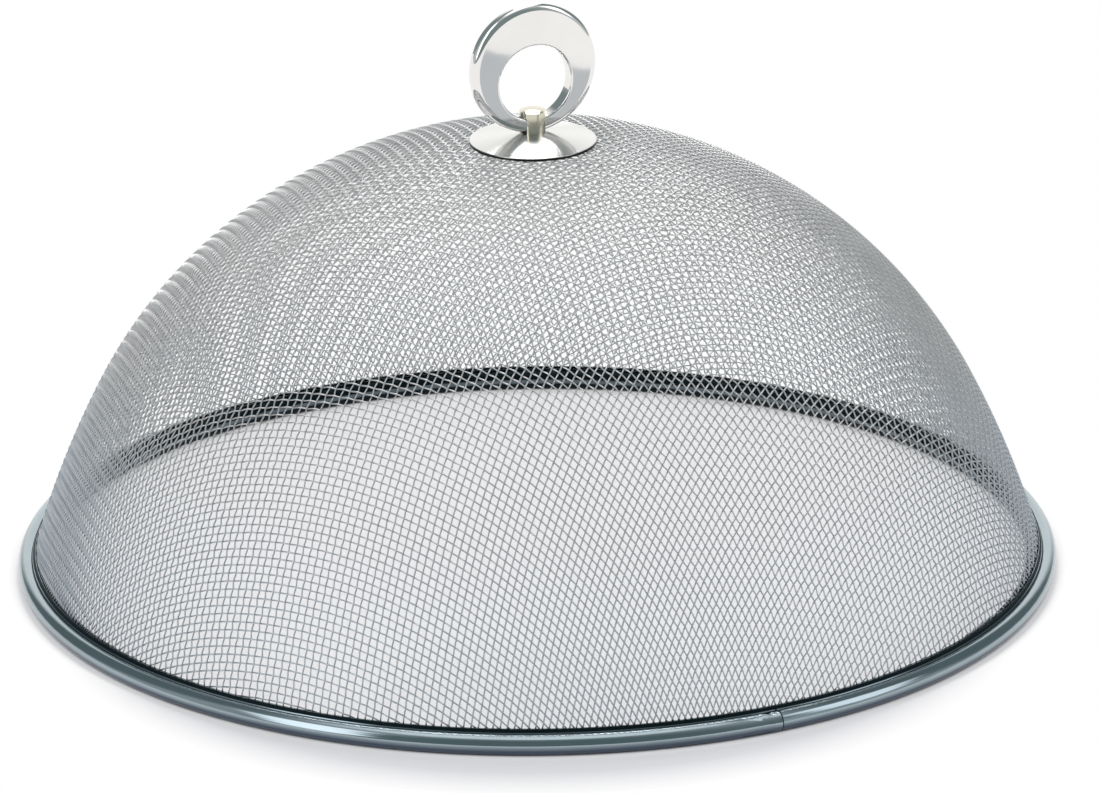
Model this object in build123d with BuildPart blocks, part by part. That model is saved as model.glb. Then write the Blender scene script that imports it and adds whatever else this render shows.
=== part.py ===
"""Domed food cover: woven wire cloth on a rolled steel rim, lifted by an upright ring."""

import os
from math import acos, asin, cos, degrees, radians, sin, sqrt

from build123d import *

# All sizes are in millimetres and degrees, +Z is up and the rim rests on Z = 0.
# The ring of the handle lies in the XZ plane.

# General fits
fit_gap = 0.05
seat_gap = 0.1

# Wire cloth, pressed into a dome: a round crown that runs on into a straighter flank
cloth_wire_diameter = 0.5
crown_height = 149.3
crown_spread = 63.0
rim_entry_inset = 6.2
rim_entry_height = 7.0
rim_entry_lean = 17.0
cloth_end_height = 1.0

# Grid of openings that stands for the weave: its pitch and bars are measured at the crown
opening_pitch = 51.0
opening_bar_width = 10.5
opening_turn = 37.5
opening_rim_border = 6.3
opening_crown_border = 2.8
smallest_opening_share = 0.125

# Rim: one strip of sheet steel, rolled to a bead on each side of the cloth, with lips that grip it
rim_diameter = 350.0
bead_diameter = 6.7
strip_thickness = 0.5
outer_lip_height = 7.7
inner_lip_height = 7.2
hoop_clearance = 0.6

# Lap where the two ends of the strip meet, measured from -Y towards +X
lap_angle = 4.0
lap_length = 8.0
lap_rise = 0.6
lap_top_angle = 95.0
lap_crest_angle = 25.0
lap_low_angle = -70.0

# Base plate under the handle, turned in one with its threaded stud
plate_diameter = 42.4
plate_edge_height = 0.9
plate_land_height = 3.6
plate_land_diameter = 10.0
plate_edge_round = 0.4
stud_diameter = 5.0
stud_hole_clearance = 0.3
stud_reach = 1.5

# Post and ring of the handle
post_diameter = 8.8
post_bridge_height = 2.5
post_dome_rise = 0.9
ring_diameter = 44.4
ring_thickness = 5.7
ring_edge_round = 2.3
ring_hole_diameter = 25.6
ring_foot_width = 4.7
ring_hole_edge_round = 0.7

# Washer and nut inside the crown
washer_diameter = 26.0
washer_thickness = 1.2
nut_width = 8.0
nut_height = 4.0

# Middle surface of the cloth: a crown arc and a flank arc tangent to it, with the two radii
# that bring the cloth into the rim at its entry point and at its lean from the vertical
half_cloth = cloth_wire_diameter
spread = radians(crown_spread)
entry_angle = radians(90 - rim_entry_lean)
entry_radius = rim_diameter / 2 - rim_entry_inset
entry_drop = crown_height - rim_entry_height
crown_width = sin(spread)
crown_drop = 1 - cos(spread)
flank_width = sin(entry_angle) - sin(spread)
flank_drop = cos(spread) - cos(entry_angle)
determinant = crown_width * flank_drop - flank_width * crown_drop
crown_radius = (entry_radius * flank_drop - entry_drop * flank_width) / determinant
flank_radius = (entry_drop * crown_width - entry_radius * crown_drop) / determinant
crown_centre = crown_height - crown_radius
flank_centre_x = (crown_radius - flank_radius) * sin(spread)
flank_centre_z = crown_centre + (crown_radius - flank_radius) * cos(spread)
cloth_end_angle = acos((cloth_end_height - flank_centre_z) / flank_radius)


def crown_point(angle, offset=0.0):
    """Point on the crown arc, this far off the axis and outside the middle surface."""
    reach = crown_radius + offset
    return (reach * sin(angle), crown_centre + reach * cos(angle))


def flank_point(angle, offset=0.0):
    """Point on the flank arc, this far off the vertical and outside the middle surface."""
    reach = flank_radius + offset
    return (flank_centre_x + reach * sin(angle), flank_centre_z + reach * cos(angle))


def crown_height_at(radius, offset):
    """Height of the crown at this radius from the axis, outside or inside the middle surface."""
    return crown_centre + sqrt((crown_radius + offset) ** 2 - radius**2)


def cloth_angle(height, offset=0.0):
    """Angle round the flank arc at which the cloth, or a face this far outside it, has this height."""
    return acos((height - flank_centre_z) / (flank_radius + offset))


# Grid of openings on a level above the crown. Each is drawn towards the lowest point of the
# crown's sphere, which keeps the openings square all the way down the dome
grid_level = crown_height + 2 * half_cloth
grid_point = crown_centre - crown_radius
border_height = outer_lip_height + opening_rim_border
border_radius = flank_point(cloth_angle(border_height))[0]
grid_radius = border_radius * (grid_level - grid_point) / (border_height - grid_point)
grid_count = 2 * round(grid_radius / opening_pitch) + 1
opening_width = opening_pitch - opening_bar_width
smallest_opening = smallest_opening_share * opening_width**2

with BuildSketch(Plane.XY.offset(grid_level).rotated((0, 0, opening_turn))) as opening_grid:
    with GridLocations(opening_pitch, opening_pitch, grid_count, grid_count):
        Rectangle(opening_width, opening_width)
    Circle(grid_radius, mode=Mode.INTERSECT)
    Circle(plate_diameter / 2 + opening_crown_border, mode=Mode.SUBTRACT)

opening_outlines = opening_grid.sketch.faces().filter_by(lambda outline: outline.area > smallest_opening)

# Wire cloth: a shell as thick as two crossing wires, with the stud's hole in its crown and the openings
cloth_hole_radius = stud_diameter / 2 + stud_hole_clearance
outer_start = asin(cloth_hole_radius / (crown_radius + half_cloth))
inner_start = asin(cloth_hole_radius / (crown_radius - half_cloth))
flank_middle = (spread + cloth_end_angle) / 2

with BuildPart() as wire_cloth:
    with BuildSketch(Plane.XZ):
        with BuildLine():
            outer_crown = ThreePointArc(
                crown_point(outer_start, half_cloth),
                crown_point(spread / 2, half_cloth),
                crown_point(spread, half_cloth),
            )
            outer_flank = ThreePointArc(
                outer_crown @ 1,
                flank_point(flank_middle, half_cloth),
                flank_point(cloth_end_angle, half_cloth),
            )
            cut_edge = Line(outer_flank @ 1, flank_point(cloth_end_angle, -half_cloth))
            inner_flank = ThreePointArc(
                cut_edge @ 1,
                flank_point(flank_middle, -half_cloth),
                crown_point(spread, -half_cloth),
            )
            inner_crown = ThreePointArc(
                inner_flank @ 1,
                crown_point(spread / 2, -half_cloth),
                crown_point(inner_start, -half_cloth),
            )
            Line(inner_crown @ 1, outer_crown @ 0)
        make_face()
    revolve(axis=Axis.Z)
    # Each opening is cut off at the dome's foot, so that no two of them meet
    openings = []
    for outline in opening_outlines:
        drawn_in = loft([outline, Vertex(0, 0, grid_point)], mode=Mode.PRIVATE)
        openings.append(split(drawn_in, bisect_by=Plane.XY, keep=Keep.TOP, mode=Mode.PRIVATE))
    add(openings, mode=Mode.SUBTRACT)

# Rim section: the inner bead mirrors the outer one about the cloth
bead_radius = bead_diameter / 2
bead_x = rim_diameter / 2 - bead_radius
bead_z = bead_radius
cavity_radius = bead_radius - strip_thickness
lip_inside = half_cloth + fit_gap
lip_outside = lip_inside + strip_thickness


inner_bead_x = 2 * flank_point(cloth_angle(bead_z))[0] - bead_x


def lip_top(height, offset):
    """Upper end of a lip face this far outside the cloth."""
    return flank_point(cloth_angle(height, offset), offset)


def lip_foot(centre_x, radius, offset):
    """Point where a lip face this far outside the cloth runs into a circle round a bead's centre."""
    along = (cos(entry_angle), -sin(entry_angle))
    across = (sin(entry_angle), cos(entry_angle))
    start_x, start_z = flank_point(entry_angle, offset)
    depth = (centre_x - start_x) * across[0] + (bead_z - start_z) * across[1]
    half_chord = sqrt(radius**2 - depth**2)
    return (
        centre_x - depth * across[0] - half_chord * along[0],
        bead_z - depth * across[1] - half_chord * along[1],
    )


def round_bead(angle, radius, centre_x=bead_x):
    """Point round a bead's centre, with 0 pointing away from the axis and 90 upwards."""
    return (centre_x + radius * cos(radians(angle)), bead_z + radius * sin(radians(angle)))


with BuildPart() as rim_band:
    with BuildSketch(Plane.XZ):
        with BuildLine():
            outer_lip = Line(
                lip_top(outer_lip_height, lip_outside), lip_foot(bead_x, bead_radius, lip_outside)
            )
            outer_bead = ThreePointArc(outer_lip @ 1, round_bead(0, bead_radius), round_bead(-90, bead_radius))
            foot = Line(outer_bead @ 1, round_bead(-90, bead_radius, inner_bead_x))
            inner_bead = ThreePointArc(
                foot @ 1,
                round_bead(180, bead_radius, inner_bead_x),
                lip_foot(inner_bead_x, bead_radius, -lip_outside),
            )
            inner_lip = Line(inner_bead @ 1, lip_top(inner_lip_height, -lip_outside))
            inner_edge = Line(inner_lip @ 1, lip_top(inner_lip_height, -lip_inside))
            inner_grip = Line(inner_edge @ 1, lip_foot(inner_bead_x, cavity_radius, -lip_inside))
            inner_hollow = ThreePointArc(
                inner_grip @ 1,
                round_bead(180, cavity_radius, inner_bead_x),
                round_bead(-90, cavity_radius, inner_bead_x),
            )
            floor = Line(inner_hollow @ 1, round_bead(-90, cavity_radius))
            outer_hollow = ThreePointArc(
                floor @ 1, round_bead(0, cavity_radius), lip_foot(bead_x, cavity_radius, lip_inside)
            )
            outer_grip = Line(outer_hollow @ 1, lip_top(outer_lip_height, lip_inside))
            Line(outer_grip @ 1, outer_lip @ 0)
        make_face()
    revolve(axis=Axis.Z)

    # The end that laps over the other swells out of the bead and stops at a step
    lap_sweep = degrees(2 * lap_length / rim_diameter)
    lap_sections = []
    lap_root_radius = bead_radius - strip_thickness / 2
    for angle, rise in ((lap_angle - lap_sweep, 0), (lap_angle, lap_rise)):
        with BuildSketch(Plane.XZ.rotated((0, 0, angle - 90))) as lap_section:
            with BuildLine():
                swell = ThreePointArc(
                    round_bead(lap_top_angle, lap_root_radius),
                    round_bead(lap_crest_angle, bead_radius + rise),
                    round_bead(lap_low_angle, lap_root_radius),
                )
                ThreePointArc(swell @ 1, round_bead(lap_crest_angle, lap_root_radius), swell @ 0)
            make_face()
        lap_sections.append(lap_section.sketch)
    loft(lap_sections, ruled=True)

# Hoop wire that stiffens the rim: it fills the bead between the cloth and the bead's outer wall
lean = sin(entry_angle)
cloth_x, cloth_z = flank_point(entry_angle, half_cloth + fit_gap)
cloth_to_bead = (bead_x - cloth_x) * lean + (bead_z - cloth_z) * cos(entry_angle)
hoop_reach = cavity_radius - hoop_clearance
hoop_radius = (cloth_to_bead + hoop_reach * lean) / (1 + lean)

with BuildPart() as rim_wire:
    with BuildSketch(Plane.XZ):
        with Locations((bead_x + hoop_reach - hoop_radius, bead_z)):
            Circle(hoop_radius)
    revolve(axis=Axis.Z)

# Base plate: dished below to sit on the crown, coned above up to a flat land
plate_radius = plate_diameter / 2
plate_land_radius = plate_land_diameter / 2
plate_offset = half_cloth + fit_gap
plate_seat = crown_height_at(plate_radius, plate_offset)
land_height = plate_seat + plate_land_height
stud_radius = stud_diameter / 2
washer_upper = -half_cloth - fit_gap
washer_lower = washer_upper - washer_thickness
nut_corner_radius = nut_width / sqrt(3)
nut_top = crown_height_at(nut_corner_radius, washer_lower) - fit_gap
stud_end = nut_top - nut_height - stud_reach

with BuildPart() as base_plate:
    with BuildSketch(Plane.XZ) as plate_section:
        with BuildLine():
            cone_face = Polyline(
                (plate_radius, plate_seat),
                (plate_radius, plate_seat + plate_edge_height),
                (plate_land_radius, land_height),
                (0, land_height),
                (0, stud_end),
                (stud_radius, stud_end),
                (stud_radius, crown_height_at(stud_radius, plate_offset)),
            )
            ThreePointArc(
                cone_face @ 1,
                (plate_radius / 2, crown_height_at(plate_radius / 2, plate_offset)),
                cone_face @ 0,
            )
        make_face()
        rim_corner = plate_section.vertices().sort_by_distance(
            (plate_radius, plate_seat + plate_edge_height, 0)
        )[0]
        fillet(rim_corner, plate_edge_round)
    revolve(axis=Axis.Z)

# Ring: a thick flat ring whose hole sits low, so that it is slimmest in the post
ring_radius = ring_diameter / 2
ring_hole_radius = ring_hole_diameter / 2
ring_height = land_height + seat_gap + ring_radius
hole_bottom = land_height + seat_gap + ring_foot_width
hole_height = hole_bottom + ring_hole_radius

with BuildPart() as handle_ring:
    with BuildSketch(Plane.XZ):
        with Locations((0, ring_height)):
            Circle(ring_radius)
        with Locations((0, hole_height)):
            Circle(ring_hole_radius, mode=Mode.SUBTRACT)
    extrude(amount=ring_thickness / 2, both=True)
    hole_edges = handle_ring.edges().filter_by(GeomType.CIRCLE).group_by(SortBy.RADIUS)[0]
    fillet(hole_edges, ring_hole_edge_round)
    outer_edges = handle_ring.edges().filter_by(GeomType.CIRCLE).group_by(SortBy.RADIUS)[-1]
    fillet(outer_edges, ring_edge_round)

# Post: a round post with a domed top, standing on the land. It straddles the ring's foot and
# bridges over it inside the hole, so that the ring can't be lifted out
post_radius = post_diameter / 2
post_shoulder = hole_bottom + post_bridge_height
post_top = post_shoulder + post_dome_rise
post_dome_radius = (post_radius**2 + post_dome_rise**2) / (2 * post_dome_rise)
dome_x = post_radius / 2
dome_z = post_top - post_dome_radius + sqrt(post_dome_radius**2 - dome_x**2)
slot_width = ring_thickness + 2 * fit_gap

with BuildPart() as handle_post:
    with BuildSketch(Plane.YZ):
        with BuildLine():
            post_side = Polyline(
                (0, post_top),
                (0, land_height),
                (post_radius, land_height),
                (post_radius, post_shoulder),
            )
            ThreePointArc(post_side @ 1, (dome_x, dome_z), post_side @ 0)
        make_face()
    revolve(axis=Axis.Z)
    with BuildSketch(Plane.XZ):
        with Locations((0, (land_height + hole_height) / 2)):
            Rectangle(ring_diameter, hole_height - land_height)
        with Locations((0, hole_height)):
            Circle(ring_hole_radius - fit_gap, mode=Mode.SUBTRACT)
    extrude(amount=slot_width / 2, both=True, mode=Mode.SUBTRACT)

# Washer inside the crown, dished like the cloth
washer_radius = washer_diameter / 2
washer_bore = stud_radius + stud_hole_clearance

with BuildPart() as backing_washer:
    with BuildSketch(Plane.XZ):
        with BuildLine():
            washer_face = ThreePointArc(
                (washer_bore, crown_height_at(washer_bore, washer_upper)),
                (washer_radius / 2, crown_height_at(washer_radius / 2, washer_upper)),
                (washer_radius, crown_height_at(washer_radius, washer_upper)),
            )
            washer_edge = Line(washer_face @ 1, (washer_radius, crown_height_at(washer_radius, washer_lower)))
            washer_back = ThreePointArc(
                washer_edge @ 1,
                (washer_radius / 2, crown_height_at(washer_radius / 2, washer_lower)),
                (washer_bore, crown_height_at(washer_bore, washer_lower)),
            )
            Line(washer_back @ 1, washer_face @ 0)
        make_face()
    revolve(axis=Axis.Z)

# Nut on the stud
with BuildPart() as fixing_nut:
    with BuildSketch(Plane.XY.offset(nut_top - nut_height)):
        RegularPolygon(nut_corner_radius, 6)
        Circle(stud_radius + fit_gap, mode=Mode.SUBTRACT)
    extrude(amount=nut_height)

os.makedirs("parts", exist_ok=True)
pieces = {
    "wire_cloth": wire_cloth,
    "rim_band": rim_band,
    "rim_wire": rim_wire,
    "base_plate": base_plate,
    "handle_post": handle_post,
    "handle_ring": handle_ring,
    "backing_washer": backing_washer,
    "fixing_nut": fixing_nut,
}
for name, piece in pieces.items():
    piece.part.label = name
    export_step(piece.part, f"parts/{name}.step")
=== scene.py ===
"""Looks of the food cover: woven wires, a rolled rim and a polished handle on a pale table."""

from math import acos, ceil, cos, pi, radians, sin, tan

import bpy
import numpy as np
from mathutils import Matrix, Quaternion, Vector


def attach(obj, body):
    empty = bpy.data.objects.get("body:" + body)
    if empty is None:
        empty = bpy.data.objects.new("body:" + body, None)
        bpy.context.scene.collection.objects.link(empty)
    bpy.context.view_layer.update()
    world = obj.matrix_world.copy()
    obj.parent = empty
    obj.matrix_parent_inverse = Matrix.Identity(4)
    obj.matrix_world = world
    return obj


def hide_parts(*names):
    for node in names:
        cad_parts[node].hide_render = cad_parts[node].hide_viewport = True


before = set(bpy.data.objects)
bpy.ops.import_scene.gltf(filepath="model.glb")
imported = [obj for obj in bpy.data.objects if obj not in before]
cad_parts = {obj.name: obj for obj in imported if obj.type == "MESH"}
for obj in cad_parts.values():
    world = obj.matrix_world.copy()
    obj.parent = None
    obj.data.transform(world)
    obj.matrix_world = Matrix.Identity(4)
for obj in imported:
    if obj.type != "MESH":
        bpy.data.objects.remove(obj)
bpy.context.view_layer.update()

# Lengths are in metres, and angles in radians where degrees aren't named
mm = 0.001

# Dome, with the driving sizes of the part's source
rim_diameter = 350 * mm
crown_height = 149.3 * mm
crown_spread = radians(63)
rim_entry_inset = 6.2 * mm
rim_entry_height = 7 * mm
rim_entry_lean = radians(17)

# Section of the dome, as in the part's source: a crown arc and a flank arc, tangent to each other
entry_radius = rim_diameter / 2 - rim_entry_inset
entry_drop = crown_height - rim_entry_height
rim_entry_angle = pi / 2 - rim_entry_lean
crown_width = sin(crown_spread)
crown_drop = 1 - cos(crown_spread)
flank_width = sin(rim_entry_angle) - sin(crown_spread)
flank_drop = cos(crown_spread) - cos(rim_entry_angle)
determinant = crown_width * flank_drop - flank_width * crown_drop
crown_radius = (entry_radius * flank_drop - entry_drop * flank_width) / determinant
flank_radius = (entry_drop * crown_width - entry_radius * crown_drop) / determinant
crown_centre = crown_height - crown_radius
flank_centre_x = (crown_radius - flank_radius) * sin(crown_spread)
flank_centre_z = crown_centre + (crown_radius - flank_radius) * cos(crown_spread)

# Lengths down the section from its top, to the end of the crown arc and to the table
crown_length = crown_radius * crown_spread
table_angle = acos(-flank_centre_z / flank_radius)
dome_length = crown_length + flank_radius * (table_angle - crown_spread)

# Wire cloth: a plain weave of wires with an even number of sides, turned about the dome's axis
wire_radius = 0.25 * mm
wire_pitch = 2.66 * mm
weave_turn = radians(-52.5)
wire_end_height = 2 * mm
wire_hole_radius = 3.2 * mm
wire_sides = 6
steps_per_pitch = 4
most_quads_per_piece = 95000

# Draping: crossings past the table, rounds of the solver, and a radius that keeps it off the axis
spare_crossings = 3
solver_rounds = 6
least_radius = 1e-9

# Flat map of the wires: share of its width for their sides, then their end faces, and margin of each row
map_reach = 0.96
end_faces = wire_sides - 2
end_reach = (1 - map_reach) / (end_faces + 1)
row_margin = 0.05

# Colours of the metals, as a dark and a light tone where they vary
wire_tones = ((0.535, 0.535, 0.535, 1), (0.69, 0.69, 0.69, 1))
steel_tones = ((0.3, 0.362, 0.39, 1), (0.37, 0.442, 0.475, 1))
zinc_tones = ((0.46, 0.47, 0.49, 1), (0.62, 0.63, 0.64, 1))
plate_tones = ((0.67, 0.665, 0.65, 1), (0.77, 0.765, 0.75, 1))
ring_tones = ((0.8, 0.79, 0.77, 1), (0.9, 0.89, 0.87, 1))
# The post's nickel is darker and warmer than the ring's, as painted shade
post_shaded_tones = ((0.6, 0.57, 0.46, 1), (0.72, 0.69, 0.57, 1))
# Painted shade: on the wires low on the dome and in the rim's lips, at the rim's foot, lips and lap, and
# under the plate's edge
painted_low_wire_shade = (0.545, 0.58, 0.615, 1)
lip_wire_shade = (0.03, 0.04, 0.045, 1)
steel_foot_shade = (0.05, 0.07, 0.11, 1)
steel_shade_black = (0.012, 0.022, 0.026, 1)
plate_edge_shade = (0.03, 0.03, 0.026, 1)

# Roughness of the metals, from the least to the most, and the turned look of the base plate
wire_roughness = (0.38, 0.54)
steel_roughness = (0.06, 0.16)
shade_roughness = 0.6
zinc_roughness = (0.25, 0.5)
plate_roughness = (0.18, 0.288)
ring_roughness = (0.03, 0.048)
post_roughness = (0.06, 0.096)
plate_turning = 0.95

# Painted shade on the wires: heights over which the cool shade low on the dome fades, and share of the
# shade in the rim's lips
low_wire_shade_heights = (25 * mm, 85 * mm)
lip_wire_shade_heights = (7.7 * mm, 8.5 * mm)
lip_wire_shade_share = 0.85

# Painted shade on the rim by slant, the radius at which a line that leans like the cloth meets the table
cloth_slant = rim_diameter / 2 - rim_entry_inset + rim_entry_height * tan(rim_entry_lean)
lip_slants = (cloth_slant + 0.63 * mm, cloth_slant + 0.7 * mm)
bead_slants = (cloth_slant + 1.15 * mm, cloth_slant + 1.4 * mm)
inside_slants = (cloth_slant - 0.95 * mm, cloth_slant - 0.65 * mm)

# Painted shade on the rim by height, with the shares of black or dark that it reaches
lip_heights = (6.5 * mm, 6.7 * mm)
inner_top_heights = (4.1 * mm, 4.4 * mm)
inner_line_share = 0.55
inner_foot_heights = (2.6 * mm, 3.4 * mm)
outer_foot_shade_heights = (1.7 * mm, 4 * mm)
outer_foot_shade_share = 0.92

# Lap of the rim, as a length round the rim from +X, and fade of its painted shadow line to both sides
lap_place = radians(-86) * rim_diameter / 2
lap_shadow_widths = (0.2 * mm, 0.45 * mm)

# Marks from rolling, as counts per metre along the rim and across it
streaks_along = 18
streaks_across = 900

# Painted shade on the underside of the base plate's edge
plate_edge_radii = (20.5 * mm, 20.8 * mm)
plate_edge_heights = (149.15 * mm, 149.4 * mm)

# Camera, fitted to the rim and the handle in the photo, with its lens in millimetres
view_azimuth = radians(-22.5)
camera_reach = 2600 * mm
camera_height = 1012.6 * mm
aim_right = 4.8 * mm
aim_height = 58.3 * mm
camera_roll = radians(-0.57)
lens_length = 270.2
farthest_view = 50

# Table: its shade lies towards the viewer, and fades to white over these radii from these shares of white,
# which lighten its shade as painted light
floor_reach = 10
floor_level = -0.02 * mm
table_colour = (0.925, 0.9, 0.93, 1)
shadow_shift = 44 * mm
shadow_radii = (143 * mm, 162 * mm)
rim_shadow_radii = (174.5 * mm, 178.5 * mm)
shadow_white = 0.2
# Painted light under the cover and by the rim: white laid over the table's shade, fading over these radii
inside_light_radii = (173.5 * mm, 181 * mm)
inside_painted_light = 0.48

# Dark line on the table under the rim's foot, and its fade to both sides
foot_radius = 170 * mm
foot_line = (2.4 * mm, 4.6 * mm)

# Lamp behind and above the cover: right, back and up from its foot, as the camera sees it
lamp_place = (0, 1.3, 1.7)
lamp_aim = (0, 0, 0.08)
lamp_width = 0.9
lamp_height = 0.8
lamp_watts = 18
lamp_colour = (1, 0.99, 0.98)

# Grey card low on the right, with its azimuth from the camera's side in degrees
card_azimuth = 45
card_distance = 0.33
card_half_width = 0.05
card_left_height = 0.083
card_right_height = 0.0615
card_colour = (0.55, 0.58, 0.61, 1)

# Colours of the room's wall and of the glow and shade on it
wall_colour = (0.55, 0.57, 0.59, 1)
back_glow = (1.7, 1.7, 1.7, 1)
low_back_glow = (1.2, 1.2, 1.18, 1)
top_glow = (1.4, 1.4, 1.4, 1)
left_glow = (2.3, 2.3, 2.35, 1)
right_glow = (1.8, 1.8, 1.85, 1)
side_shade = (0.2, 0.245, 0.255, 1)
front_shade = (0.195, 0.25, 0.255, 1)

# Patches laid over each other on the wall: azimuth, elevation, reach and full core in degrees, and colour
room_patches = (
    (180, 50, 45, 18, back_glow),
    (-130, 33, 42, 24, side_shade),
    (130, 33, 42, 24, side_shade),
    (0, 15, 75, 32, front_shade),
    (180, 18, 34, 14, low_back_glow),
    (180, 85, 26, 9, top_glow),
    (-49, 16, 15, 6, left_glow),
    (-54, 32, 15, 6, left_glow),
    (-64, 48, 15, 6, left_glow),
    (77, 26, 15, 6, right_glow),
    (86, 42, 17, 7, right_glow),
)


# Nodes


def add_node(tree, kind, inputs=None, **properties):
    """Adds a node with these properties, and sets or links its inputs by name or number."""
    node = tree.nodes.new("ShaderNode" + kind)
    for name, value in properties.items():
        setattr(node, name, value)
    for name, value in (inputs or {}).items():
        if isinstance(value, bpy.types.NodeSocket):
            tree.links.new(value, node.inputs[name])
        else:
            node.inputs[name].default_value = value
    return node


def noise(tree, vector, scale, detail, roughness=0.5):
    """A noise value between 0 and 1 over these coordinates."""
    inputs = {"Vector": vector, "Scale": scale, "Detail": detail, "Roughness": roughness}
    return add_node(tree, "TexNoise", inputs).outputs["Fac"]


def remap(tree, value, first, last, band=(0.0, 1.0), smooth=False):
    """A value that goes from first to last while the given one crosses this band."""
    kind = "SMOOTHSTEP" if smooth else "LINEAR"
    inputs = {"Value": value, "From Min": band[0], "From Max": band[1], "To Min": first, "To Max": last}
    return add_node(tree, "MapRange", inputs, interpolation_type=kind).outputs["Result"]


def mix_colour(tree, factor, first, second):
    """One colour blended into another; the node's colours are its inputs 6 and 7 and its output 2."""
    return add_node(tree, "Mix", {0: factor, 6: first, 7: second}, data_type="RGBA").outputs[2]


def math_node(tree, operation, first, second=0.0):
    """One arithmetic step on one or two values."""
    return add_node(tree, "Math", {0: first, 1: second}, operation=operation).outputs["Value"]


def combine(tree, operation, *values):
    """Several values joined one after another by the same arithmetic step."""
    result = values[0]
    for value in values[1:]:
        result = math_node(tree, operation, result, value)
    return result


def distance_from(tree, value, middle):
    """How far a value lies from a middle one, to either side."""
    return math_node(tree, "ABSOLUTE", math_node(tree, "SUBTRACT", value, middle))


def vector_value(tree, operation, first, second=(0, 0, 0)):
    """One value worked out from one or two vectors."""
    return add_node(tree, "VectorMath", {0: first, 1: second}, operation=operation).outputs["Value"]


def bump(tree, height, distance, strength):
    """A normal bent by this height, whose full range is that distance."""
    inputs = {"Height": height, "Distance": distance, "Strength": strength}
    return add_node(tree, "Bump", inputs).outputs["Normal"]


def object_place(tree):
    """Place on the object, in metres."""
    return add_node(tree, "TexCoord").outputs["Object"]


def height_of(tree, place):
    """Height of a place above the table."""
    return add_node(tree, "SeparateXYZ", {"Vector": place}).outputs["Z"]


def radius_of(tree, place):
    """Distance of a place from the dome's axis."""
    parts = add_node(tree, "SeparateXYZ", {"Vector": place}).outputs
    flat = add_node(tree, "CombineXYZ", {"X": parts["X"], "Y": parts["Y"]}).outputs["Vector"]
    return vector_value(tree, "LENGTH", flat)


def length_round(tree, place):
    """Length from +X to a place, measured round the rim, so that marks can run along it."""
    parts = add_node(tree, "SeparateXYZ", {"Vector": place}).outputs
    turn = math_node(tree, "ARCTAN2", parts["Y"], parts["X"])
    return math_node(tree, "MULTIPLY", turn, rim_diameter / 2)


# Metals


def new_material(name):
    """A node material with nothing in its tree, and that tree."""
    material = bpy.data.materials.new(name)
    material.use_nodes = True
    tree = material.node_tree
    tree.nodes.clear()
    return material, tree


def show(tree, shader):
    """Makes this shader the surface of its material."""
    add_node(tree, "OutputMaterial", {"Surface": shader})


def show_metal(tree, colour, roughness, **more):
    """Makes metal of this colour and roughness the surface, with more of the shader's inputs by name."""
    inputs = {"Base Color": colour, "Metallic": 1.0, "Roughness": roughness, **more}
    show(tree, add_node(tree, "BsdfPrincipled", inputs).outputs["BSDF"])


def drawn_wire():
    """Bright drawn steel wire, dulled in patches, with painted cool shade low on the dome and painted shade
    in the rim's lips.
    """
    material, tree = new_material("drawn_wire")
    place = object_place(tree)
    height = height_of(tree, place)
    patches = noise(tree, place, scale=60, detail=3)
    wire = mix_colour(tree, patches, *wire_tones)
    # Painted cool shade, darker and bluer low on the dome
    low = remap(tree, height, 1.0, 0.0, low_wire_shade_heights, smooth=True)
    low_shaded = mix_colour(tree, low, wire, painted_low_wire_shade)
    # Painted shade of the crevice on the wires in the rim's lips
    shaded_in_lip = remap(tree, height, lip_wire_shade_share, 0.0, lip_wire_shade_heights)
    colour = mix_colour(tree, shaded_in_lip, low_shaded, lip_wire_shade)
    show_metal(tree, colour, remap(tree, patches, *wire_roughness))
    return material


def rim_shade(tree, length, radius, height):
    """Share of painted black shade on the rim.

    Painted shade covers its lips beside the cloth, its inner bead but for a line along it, and the line at
    the step of its lap.
    """
    slant = math_node(tree, "ADD", radius, math_node(tree, "MULTIPLY", height, tan(rim_entry_lean)))
    outside = remap(tree, slant, 0.0, 1.0, lip_slants, smooth=True)
    beside_bead = remap(tree, slant, 1.0, 0.0, bead_slants, smooth=True)
    above_bead = remap(tree, height, 0.0, 1.0, lip_heights, smooth=True)
    outer_lip_shade = combine(tree, "MULTIPLY", outside, beside_bead, above_bead)
    inside = remap(tree, slant, 1.0, 0.0, inside_slants, smooth=True)
    inner_top = remap(tree, height, inner_line_share, 1.0, inner_top_heights, smooth=True)
    inner_foot = remap(tree, height, 1.0, 0.0, inner_foot_heights, smooth=True)
    inner_bead_shade = math_node(tree, "MULTIPLY", inside, math_node(tree, "MAXIMUM", inner_top, inner_foot))
    lap_shadow = remap(tree, distance_from(tree, length, lap_place), 1.0, 0.0, lap_shadow_widths, smooth=True)
    lap = math_node(tree, "MULTIPLY", lap_shadow, outside)
    return combine(tree, "MAXIMUM", outer_lip_shade, inner_bead_shade, lap)


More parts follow.
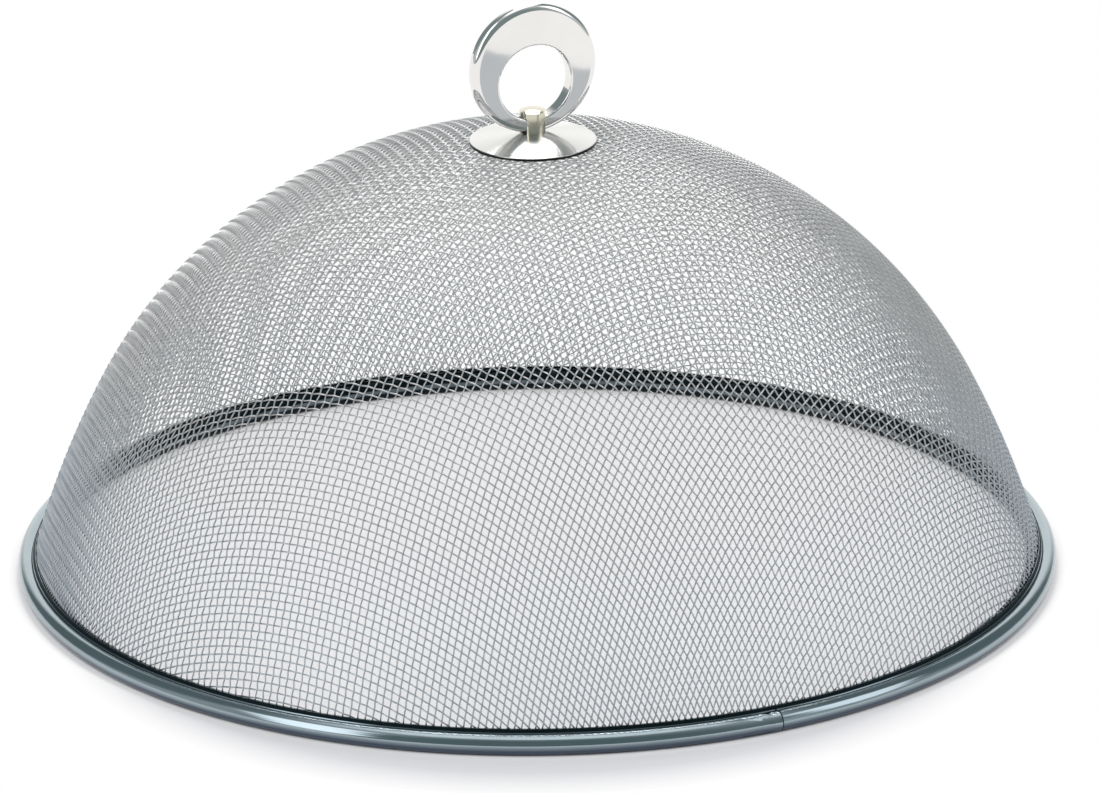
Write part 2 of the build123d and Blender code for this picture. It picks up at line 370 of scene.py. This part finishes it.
def rolled_steel():
    """Rim steel with fine marks along the rim from rolling, with painted shade at its lips, its foot and
    its lap.
    """
    material, tree = new_material("rolled_steel")
    place = object_place(tree)
    length = length_round(tree, place)
    radius = radius_of(tree, place)
    height = height_of(tree, place)
    streak_place = add_node(
        tree,
        "CombineXYZ",
        {
            "X": math_node(tree, "MULTIPLY", length, streaks_along),
            "Y": math_node(tree, "MULTIPLY", radius, streaks_across),
            "Z": math_node(tree, "MULTIPLY", height, streaks_across),
        },
    )
    streaks = noise(tree, streak_place.outputs["Vector"], scale=1, detail=3)
    patches = noise(tree, place, scale=45, detail=4)
    steel = mix_colour(tree, patches, *steel_tones)
    # Painted shade, dark and bluish, low on the rim's bead
    foot = remap(tree, height, outer_foot_shade_share, 0.0, outer_foot_shade_heights, smooth=True)
    foot_shaded = mix_colour(tree, foot, steel, steel_foot_shade)
    # Painted black shade at the lips, on the inner bead and at the lap's step
    shade = rim_shade(tree, length, radius, height)
    colour = mix_colour(tree, shade, foot_shaded, steel_shade_black)
    polish = remap(tree, streaks, *steel_roughness)
    roughness = math_node(tree, "MAXIMUM", polish, math_node(tree, "MULTIPLY", shade, shade_roughness))
    streaked = bump(tree, streaks, distance=0.02 * mm, strength=0.3)
    show_metal(tree, colour, roughness, Normal=streaked)
    return material


def nickel_plate(name, tones, roughness, turning=0.0):
    """Nickel plating with faint smears and waves, with painted shade under the base plate's edge.

    Turning is how far fine rings from a lathe draw out its reflections.
    """
    material, tree = new_material(name)
    place = object_place(tree)
    smears = noise(tree, place, scale=90, detail=5, roughness=0.6)
    waves = noise(tree, place, scale=120, detail=1)
    nickel = mix_colour(tree, smears, *tones)
    # Painted shade under the base plate's edge
    outer = remap(tree, radius_of(tree, place), 0.0, 1.0, plate_edge_radii, smooth=True)
    low = remap(tree, height_of(tree, place), 1.0, 0.0, plate_edge_heights, smooth=True)
    shade_under_edge = math_node(tree, "MULTIPLY", outer, low)
    colour = mix_colour(tree, shade_under_edge, nickel, plate_edge_shade)
    rings = add_node(tree, "Tangent", direction_type="RADIAL", axis="Z").outputs["Tangent"]
    turned = {"Anisotropic": turning, "Anisotropic Rotation": 0.25, "Tangent": rings}
    waved = bump(tree, waves, distance=0.05 * mm, strength=0.25)
    show_metal(tree, colour, remap(tree, smears, *roughness), Normal=waved, **turned)
    return material


def zinc_plate():
    """Dull zinc plating on the pieces that hold the handle from inside and on the rim's hoop wire."""
    material, tree = new_material("zinc_plate")
    grain = noise(tree, object_place(tree), scale=400, detail=4)
    colour = mix_colour(tree, grain, *zinc_tones)
    grained = bump(tree, grain, distance=0.03 * mm, strength=0.3)
    show_metal(tree, colour, remap(tree, grain, *zinc_roughness), Normal=grained)
    return material


# Objects


def add_object(name, data):
    """A new object in the scene."""
    thing = bpy.data.objects.new(name, data)
    bpy.context.scene.collection.objects.link(thing)
    return thing


def quad_object(name, material, points, quads, map_places=None):
    """A smooth mesh object of these points and four-cornered faces, with its bake map if it has one."""
    mesh = bpy.data.meshes.new(name)
    mesh.vertices.add(len(points))
    mesh.vertices.foreach_set("co", points.astype(np.float32).ravel())
    mesh.loops.add(quads.size)
    mesh.loops.foreach_set("vertex_index", quads.astype(np.int32).ravel())
    mesh.polygons.add(len(quads))
    mesh.polygons.foreach_set("loop_start", np.arange(0, quads.size, 4, dtype=np.int32))
    mesh.update(calc_edges=True)
    if map_places is not None:
        flat_map = mesh.uv_layers.new(name="OFBake")
        flat_map.uv.foreach_set("vector", map_places.astype(np.float32).ravel())
    mesh.shade_smooth()
    mesh.materials.append(material)
    return add_object(name, mesh)


# Woven cloth


def dome_surface(points):
    """How far points lie outside the cloth's middle surface, and the normals of the surface there."""
    radius = np.maximum(np.hypot(points[:, 0], points[:, 1]), least_radius)
    height = points[:, 2]
    crown = np.arctan2(radius, height - crown_centre) < crown_spread
    out = radius - np.where(crown, 0, flank_centre_x)
    up = height - np.where(crown, crown_centre, flank_centre_z)
    reach = np.hypot(out, up)
    sideways = points[:, :2] * out[:, None] / radius[:, None]
    normals = np.column_stack((sideways, up)) / reach[:, None]
    return reach - np.where(crown, crown_radius, flank_radius), normals


def meridian(lengths):
    """Radius and height of the cloth at these lengths down from the top."""
    crown_turn = np.minimum(lengths, crown_length) / crown_radius
    flank_turn = crown_spread + np.maximum(lengths - crown_length, 0) / flank_radius
    crown = (
        crown_radius * np.sin(crown_turn),
        crown_centre + crown_radius * np.cos(crown_turn),
    )
    flank = (
        flank_centre_x + flank_radius * np.sin(flank_turn),
        flank_centre_z + flank_radius * np.cos(flank_turn),
    )
    return np.where(lengths < crown_length, crown, flank)


def next_crossings(first, second, corner):
    """Crossings on the dome one pitch from both neighbours, away from the corner behind them."""
    points = first + second - corner
    for _ in range(solver_rounds):
        miss, normals = dome_surface(points)
        to_first = points - first
        to_second = points - second
        slopes = np.stack((2 * to_first, 2 * to_second, normals), axis=1)
        errors = np.column_stack(
            (
                (to_first**2).sum(1) - wire_pitch**2,
                (to_second**2).sum(1) - wire_pitch**2,
                miss,
            )
        )
        points = points - np.linalg.solve(slopes, errors[:, :, None])[:, :, 0]
    return points


def draped_quadrant():
    """Crossings of the cloth over a quarter of the dome.

    Pressing turns the wires at their crossings but doesn't stretch them, so each crossing lies one
    pitch from its neighbours, starting from the two middle wires, which run straight down the dome.
    The wires are followed to a little below the table.
    """
    count = int(dome_length / wire_pitch) + spare_crossings
    radius, height = meridian(np.arange(count) * wire_pitch)
    grid = np.full((count, count, 3), np.nan)
    grid[:, 0] = np.column_stack((radius, 0 * radius, height))
    grid[0, :] = np.column_stack((0 * radius, radius, height))
    for diagonal in range(2, 2 * count - 1):
        row = np.arange(max(1, diagonal - count + 1), min(count, diagonal))
        column = diagonal - row
        mean_height = (grid[row - 1, column, 2] + grid[row, column - 1, 2]) / 2
        row = row[mean_height > -2 * wire_pitch]
        column = diagonal - row
        if len(row) == 0:
            break
        grid[row, column] = next_crossings(
            grid[row - 1, column], grid[row, column - 1], grid[row - 1, column - 1]
        )
    return grid


def draped_cloth():
    """Crossings of the whole cloth, as one row of points per warp wire, turned about the dome's axis."""
    quarter = draped_quadrant()
    half = np.concatenate((quarter[:0:-1] * (-1, 1, 1), quarter))
    whole = np.concatenate((half[:, :0:-1] * (1, -1, 1), half), axis=1)
    turned = whole.copy()
    turned[..., 0] = whole[..., 0] * cos(weave_turn) - whole[..., 1] * sin(weave_turn)
    turned[..., 1] = whole[..., 0] * sin(weave_turn) + whole[..., 1] * cos(weave_turn)
    return turned


def wire_runs(row, sides):
    """Stretches of one wire on the dome, outside the stud's hole, with their side at each crossing."""
    kept = (row[:, 2] > wire_end_height) & (np.hypot(row[:, 0], row[:, 1]) > wire_hole_radius)
    edges = np.flatnonzero(np.diff(np.concatenate(([False], kept, [False])).astype(int)))
    for start, end in zip(edges[::2], edges[1::2]):
        if end - start > 1:
            yield row[start:end], sides[start:end]


def wire_tube(points, sides):
    """Rings of points round one wire that waves over and under the wires it crosses."""
    normals = dome_surface(points)[1]
    steps = np.arange((len(points) - 1) * steps_per_pitch + 1) / steps_per_pitch
    place = np.minimum(steps.astype(int), len(points) - 2)
    share = (steps - place)[:, None]
    up = normals[place] * (1 - share) + normals[place + 1] * share
    wave = sides[place][:, None] * wire_radius * np.cos(pi * share)
    middle = points[place] * (1 - share) + points[place + 1] * share + up * wave
    along = np.gradient(middle, axis=0)
    across = np.cross(along, up)
    across /= np.linalg.norm(across, axis=1)[:, None]
    out = np.cross(across, along)
    out /= np.linalg.norm(out, axis=1)[:, None]
    turns = (2 * pi * np.arange(wire_sides) / wire_sides)[None, :, None]
    ring = np.cos(turns) * across[:, None] + np.sin(turns) * out[:, None]
    return middle[:, None] + wire_radius * ring


def tube_quads(ring_count):
    """Faces of a closed tube: its side, and a fan of faces over each end."""
    low = np.arange(ring_count - 1)[:, None] * wire_sides
    high = low + wire_sides
    side = np.arange(wire_sides)[None, :]
    after = (side + 1) % wire_sides
    sides = np.stack((low + side, high + side, high + after, low + after), axis=2)
    first = np.array([(0, corner, corner + 1, corner + 2) for corner in range(1, wire_sides - 2, 2)])
    last = (ring_count - 1) * wire_sides + first[:, ::-1]
    return np.concatenate((sides.reshape(-1, 4), first, last))


def tube_map(ring_count, row, row_count):
    """Places of a tube's face corners on the flat map: a row per wire, its end faces after its side."""
    spans = ring_count - 1
    left = np.broadcast_to(np.arange(spans)[:, None] / spans * map_reach, (spans, wire_sides))
    right = left + map_reach / spans
    side = row_margin + (1 - 2 * row_margin) * np.arange(wire_sides + 1) / wire_sides
    lower = np.broadcast_to((row + side[:-1]) / row_count, left.shape)
    upper = np.broadcast_to((row + side[1:]) / row_count, left.shape)
    sides = np.stack((left, lower, right, lower, right, upper, left, upper), axis=2).reshape(-1, 4, 2)
    bottom = (row + row_margin) / row_count
    top = (row + 1 - row_margin) / row_count
    ends = []
    for face in range(end_faces):
        start = map_reach + (face + 0.5) * end_reach
        end = start + end_reach / 2
        ends.append(((start, bottom), (end, bottom), (end, top), (start, top)))
    return np.concatenate((sides, ends))


def wires_object(name, material, tubes):
    """One object of all these wires, each in its own row of the flat map."""
    points = []
    quads = []
    places = []
    start = 0
    for row, tube in enumerate(tubes):
        points.append(tube.reshape(-1, 3))
        quads.append(tube_quads(len(tube)) + start)
        places.append(tube_map(len(tube), row, len(tubes)))
        start += len(points[-1])
    return quad_object(name, material, *(np.concatenate(arrays) for arrays in (points, quads, places)))


def weave(name, material, rows, sides):
    """All wires of one direction, in as many pieces as their count of faces needs."""
    tubes = [wire_tube(*run) for row, side in zip(rows, sides) for run in wire_runs(row, side)]
    quads_so_far = np.cumsum([len(tube) * wire_sides for tube in tubes])
    piece_count = ceil(quads_so_far[-1] / most_quads_per_piece)
    group_of = (quads_so_far - 1) * piece_count // quads_so_far[-1]
    for group in range(piece_count):
        members = [tubes[index] for index in np.flatnonzero(group_of == group)]
        piece = wires_object(f"{name}_{group + 1}", material, members)
        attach(piece, "root")
        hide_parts("wire_cloth")


def make_cloth():
    """The woven wires of the dome, on side 1 where they go over and -1 where they go under."""
    material = drawn_wire()
    cloth = draped_cloth()
    row, column = np.indices(cloth.shape[:2])
    sides = 1 - 2 * ((row + column) % 2)
    weave("warp_wires", material, cloth, sides)
    weave("weft_wires", material, cloth.transpose(1, 0, 2), -sides.T)


# Rim and handle


def dress_node(name, material):
    """Gives a CAD node this material."""
    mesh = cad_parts[name].data
    mesh.materials.clear()
    mesh.materials.append(material)


def dress_nodes():
    """Gives each CAD node but the cloth its metal."""
    dress_node("base_plate", nickel_plate("plate_nickel", plate_tones, plate_roughness, plate_turning))
    dress_node("handle_ring", nickel_plate("ring_nickel", ring_tones, ring_roughness))
    # Painted shade darkens and warms the post's nickel
    dress_node("handle_post", nickel_plate("post_shaded_nickel", post_shaded_tones, post_roughness))
    dress_node("rim_band", rolled_steel())
    fixing_metal = zinc_plate()
    for name in ("rim_wire", "backing_washer", "fixing_nut"):
        dress_node(name, fixing_metal)


# Stage


def from_camera(right, back, up):
    """A point given to the right of, behind and above the object's foot, as the camera sees it."""
    return Vector(
        (
            right * cos(view_azimuth) - back * sin(view_azimuth),
            right * sin(view_azimuth) + back * cos(view_azimuth),
            up,
        )
    )


def towards(azimuth, elevation):
    """Direction at this azimuth, to the right from the camera's side, and this elevation, in degrees."""
    level = cos(radians(elevation))
    right = sin(radians(azimuth)) * level
    back = -cos(radians(azimuth)) * level
    return from_camera(right, back, sin(radians(elevation)))


def looking_at(place, aim):
    """Turn of a camera or a lamp at this place that faces that point."""
    return (place - aim).to_track_quat("Z", "Y")


def make_camera():
    """The camera of the photo."""
    data = bpy.data.cameras.new("camera")
    data.lens = lens_length
    data.clip_end = farthest_view
    camera = add_object("camera", data)
    camera.location = from_camera(0, -camera_reach, camera_height)
    camera.rotation_mode = "QUATERNION"
    level_turn = looking_at(camera.location, from_camera(aim_right, 0, aim_height))
    camera.rotation_quaternion = level_turn @ Quaternion((0, 0, 1), camera_roll)
    bpy.context.scene.camera = camera


def table_top():
    """Pale table that takes the shadow near the cover, lightened by painted light, and fades to the white
    of the background.
    """
    material, tree = new_material("table")
    place = object_place(tree)
    radius = vector_value(tree, "LENGTH", place)
    from_shadow = vector_value(tree, "DISTANCE", place, from_camera(0, -shadow_shift, 0))
    shade_fade = remap(tree, from_shadow, shadow_white, 1.0, shadow_radii)
    rim_fade = remap(tree, radius, shadow_white, 1.0, rim_shadow_radii)
    outer_fade = math_node(tree, "MINIMUM", shade_fade, rim_fade)
    # Painted light over the table's shade under the cover and by the rim's foot
    light_inside = remap(tree, radius, inside_painted_light, 0.0, inside_light_radii, smooth=True)
    fade = math_node(tree, "MAXIMUM", outer_fade, light_inside)
    off_foot = remap(tree, distance_from(tree, radius, foot_radius), 0.0, 1.0, foot_line, smooth=True)
    rays = add_node(tree, "LightPath").outputs
    ray_kinds = ("Is Camera Ray", "Is Glossy Ray", "Is Transmission Ray")
    seen = combine(tree, "MAXIMUM", *(rays[kind] for kind in ray_kinds))
    share = combine(tree, "MULTIPLY", seen, fade, off_foot)
    near = add_node(tree, "BsdfDiffuse", {"Color": table_colour}).outputs["BSDF"]
    white = add_node(tree, "Emission", {"Color": (1, 1, 1, 1), "Strength": 1.0}).outputs["Emission"]
    show(tree, add_node(tree, "MixShader", {0: share, 1: near, 2: white}).outputs["Shader"])
    return material


def flat_sheet(name, material, corners):
    """A flat sheet with these four corners."""
    return quad_object(name, material, np.array(corners), np.array(((0, 1, 2, 3),)))


def make_floor():
    """A wide plain floor just under the rim's foot."""
    square = ((-1, -1), (1, -1), (1, 1), (-1, 1))
    corners = [(floor_reach * x, floor_reach * y, floor_level) for x, y in square]
    floor = flat_sheet("table", table_top(), corners)


def make_room():
    """A grey room with patches of light and shade, each round one direction from the cover."""
    world = bpy.data.worlds.new("room")
    world.use_nodes = True
    tree = world.node_tree
    direction = add_node(tree, "TexCoord").outputs["Generated"]
    colour = wall_colour
    for azimuth, elevation, reach, core, patch_colour in room_patches:
        nearness = vector_value(tree, "DOT_PRODUCT", direction, towards(azimuth, elevation))
        band = (cos(radians(reach)), cos(radians(core)))
        share = remap(tree, nearness, 0.0, 1.0, band, smooth=True)
        colour = mix_colour(tree, share, colour, patch_colour)
    tree.links.new(colour, tree.nodes["Background"].inputs["Color"])
    bpy.context.scene.world = world


def make_lamp():
    """One wide soft lamp behind and above the cover."""
    data = bpy.data.lights.new("back_light", "AREA")
    data.shape = "RECTANGLE"
    data.size = lamp_width
    data.size_y = lamp_height
    data.energy = lamp_watts
    data.color = lamp_colour
    lamp = add_object("back_light", data)
    lamp.location = from_camera(*lamp_place)
    lamp.rotation_mode = "QUATERNION"
    lamp.rotation_quaternion = looking_at(lamp.location, from_camera(*lamp_aim))
    lamp.visible_camera = False


def card_grey():
    """Even grey of the studio card."""
    material, tree = new_material("grey_card")
    show(tree, add_node(tree, "Emission", {"Color": card_colour, "Strength": 1.0}).outputs["Emission"])
    return material


def make_card():
    """A grey studio card low on the right, which only the polished metal shows."""
    direction = towards(card_azimuth, 0)
    across = Vector((-direction.y, direction.x, 0)) * card_half_width
    left = direction * card_distance - across
    right = direction * card_distance + across
    left_top = left + Vector((0, 0, card_left_height))
    right_top = right + Vector((0, 0, card_right_height))
    card = flat_sheet("grey_card", card_grey(), (left, right, right_top, left_top))
    card.visible_camera = False
    card.visible_diffuse = False
    card.visible_shadow = False
    card.visible_transmission = False


make_camera()
make_floor()
make_room()
make_lamp()
make_card()
make_cloth()
dress_nodes()

bpy.context.scene.view_settings.view_transform = "Standard"
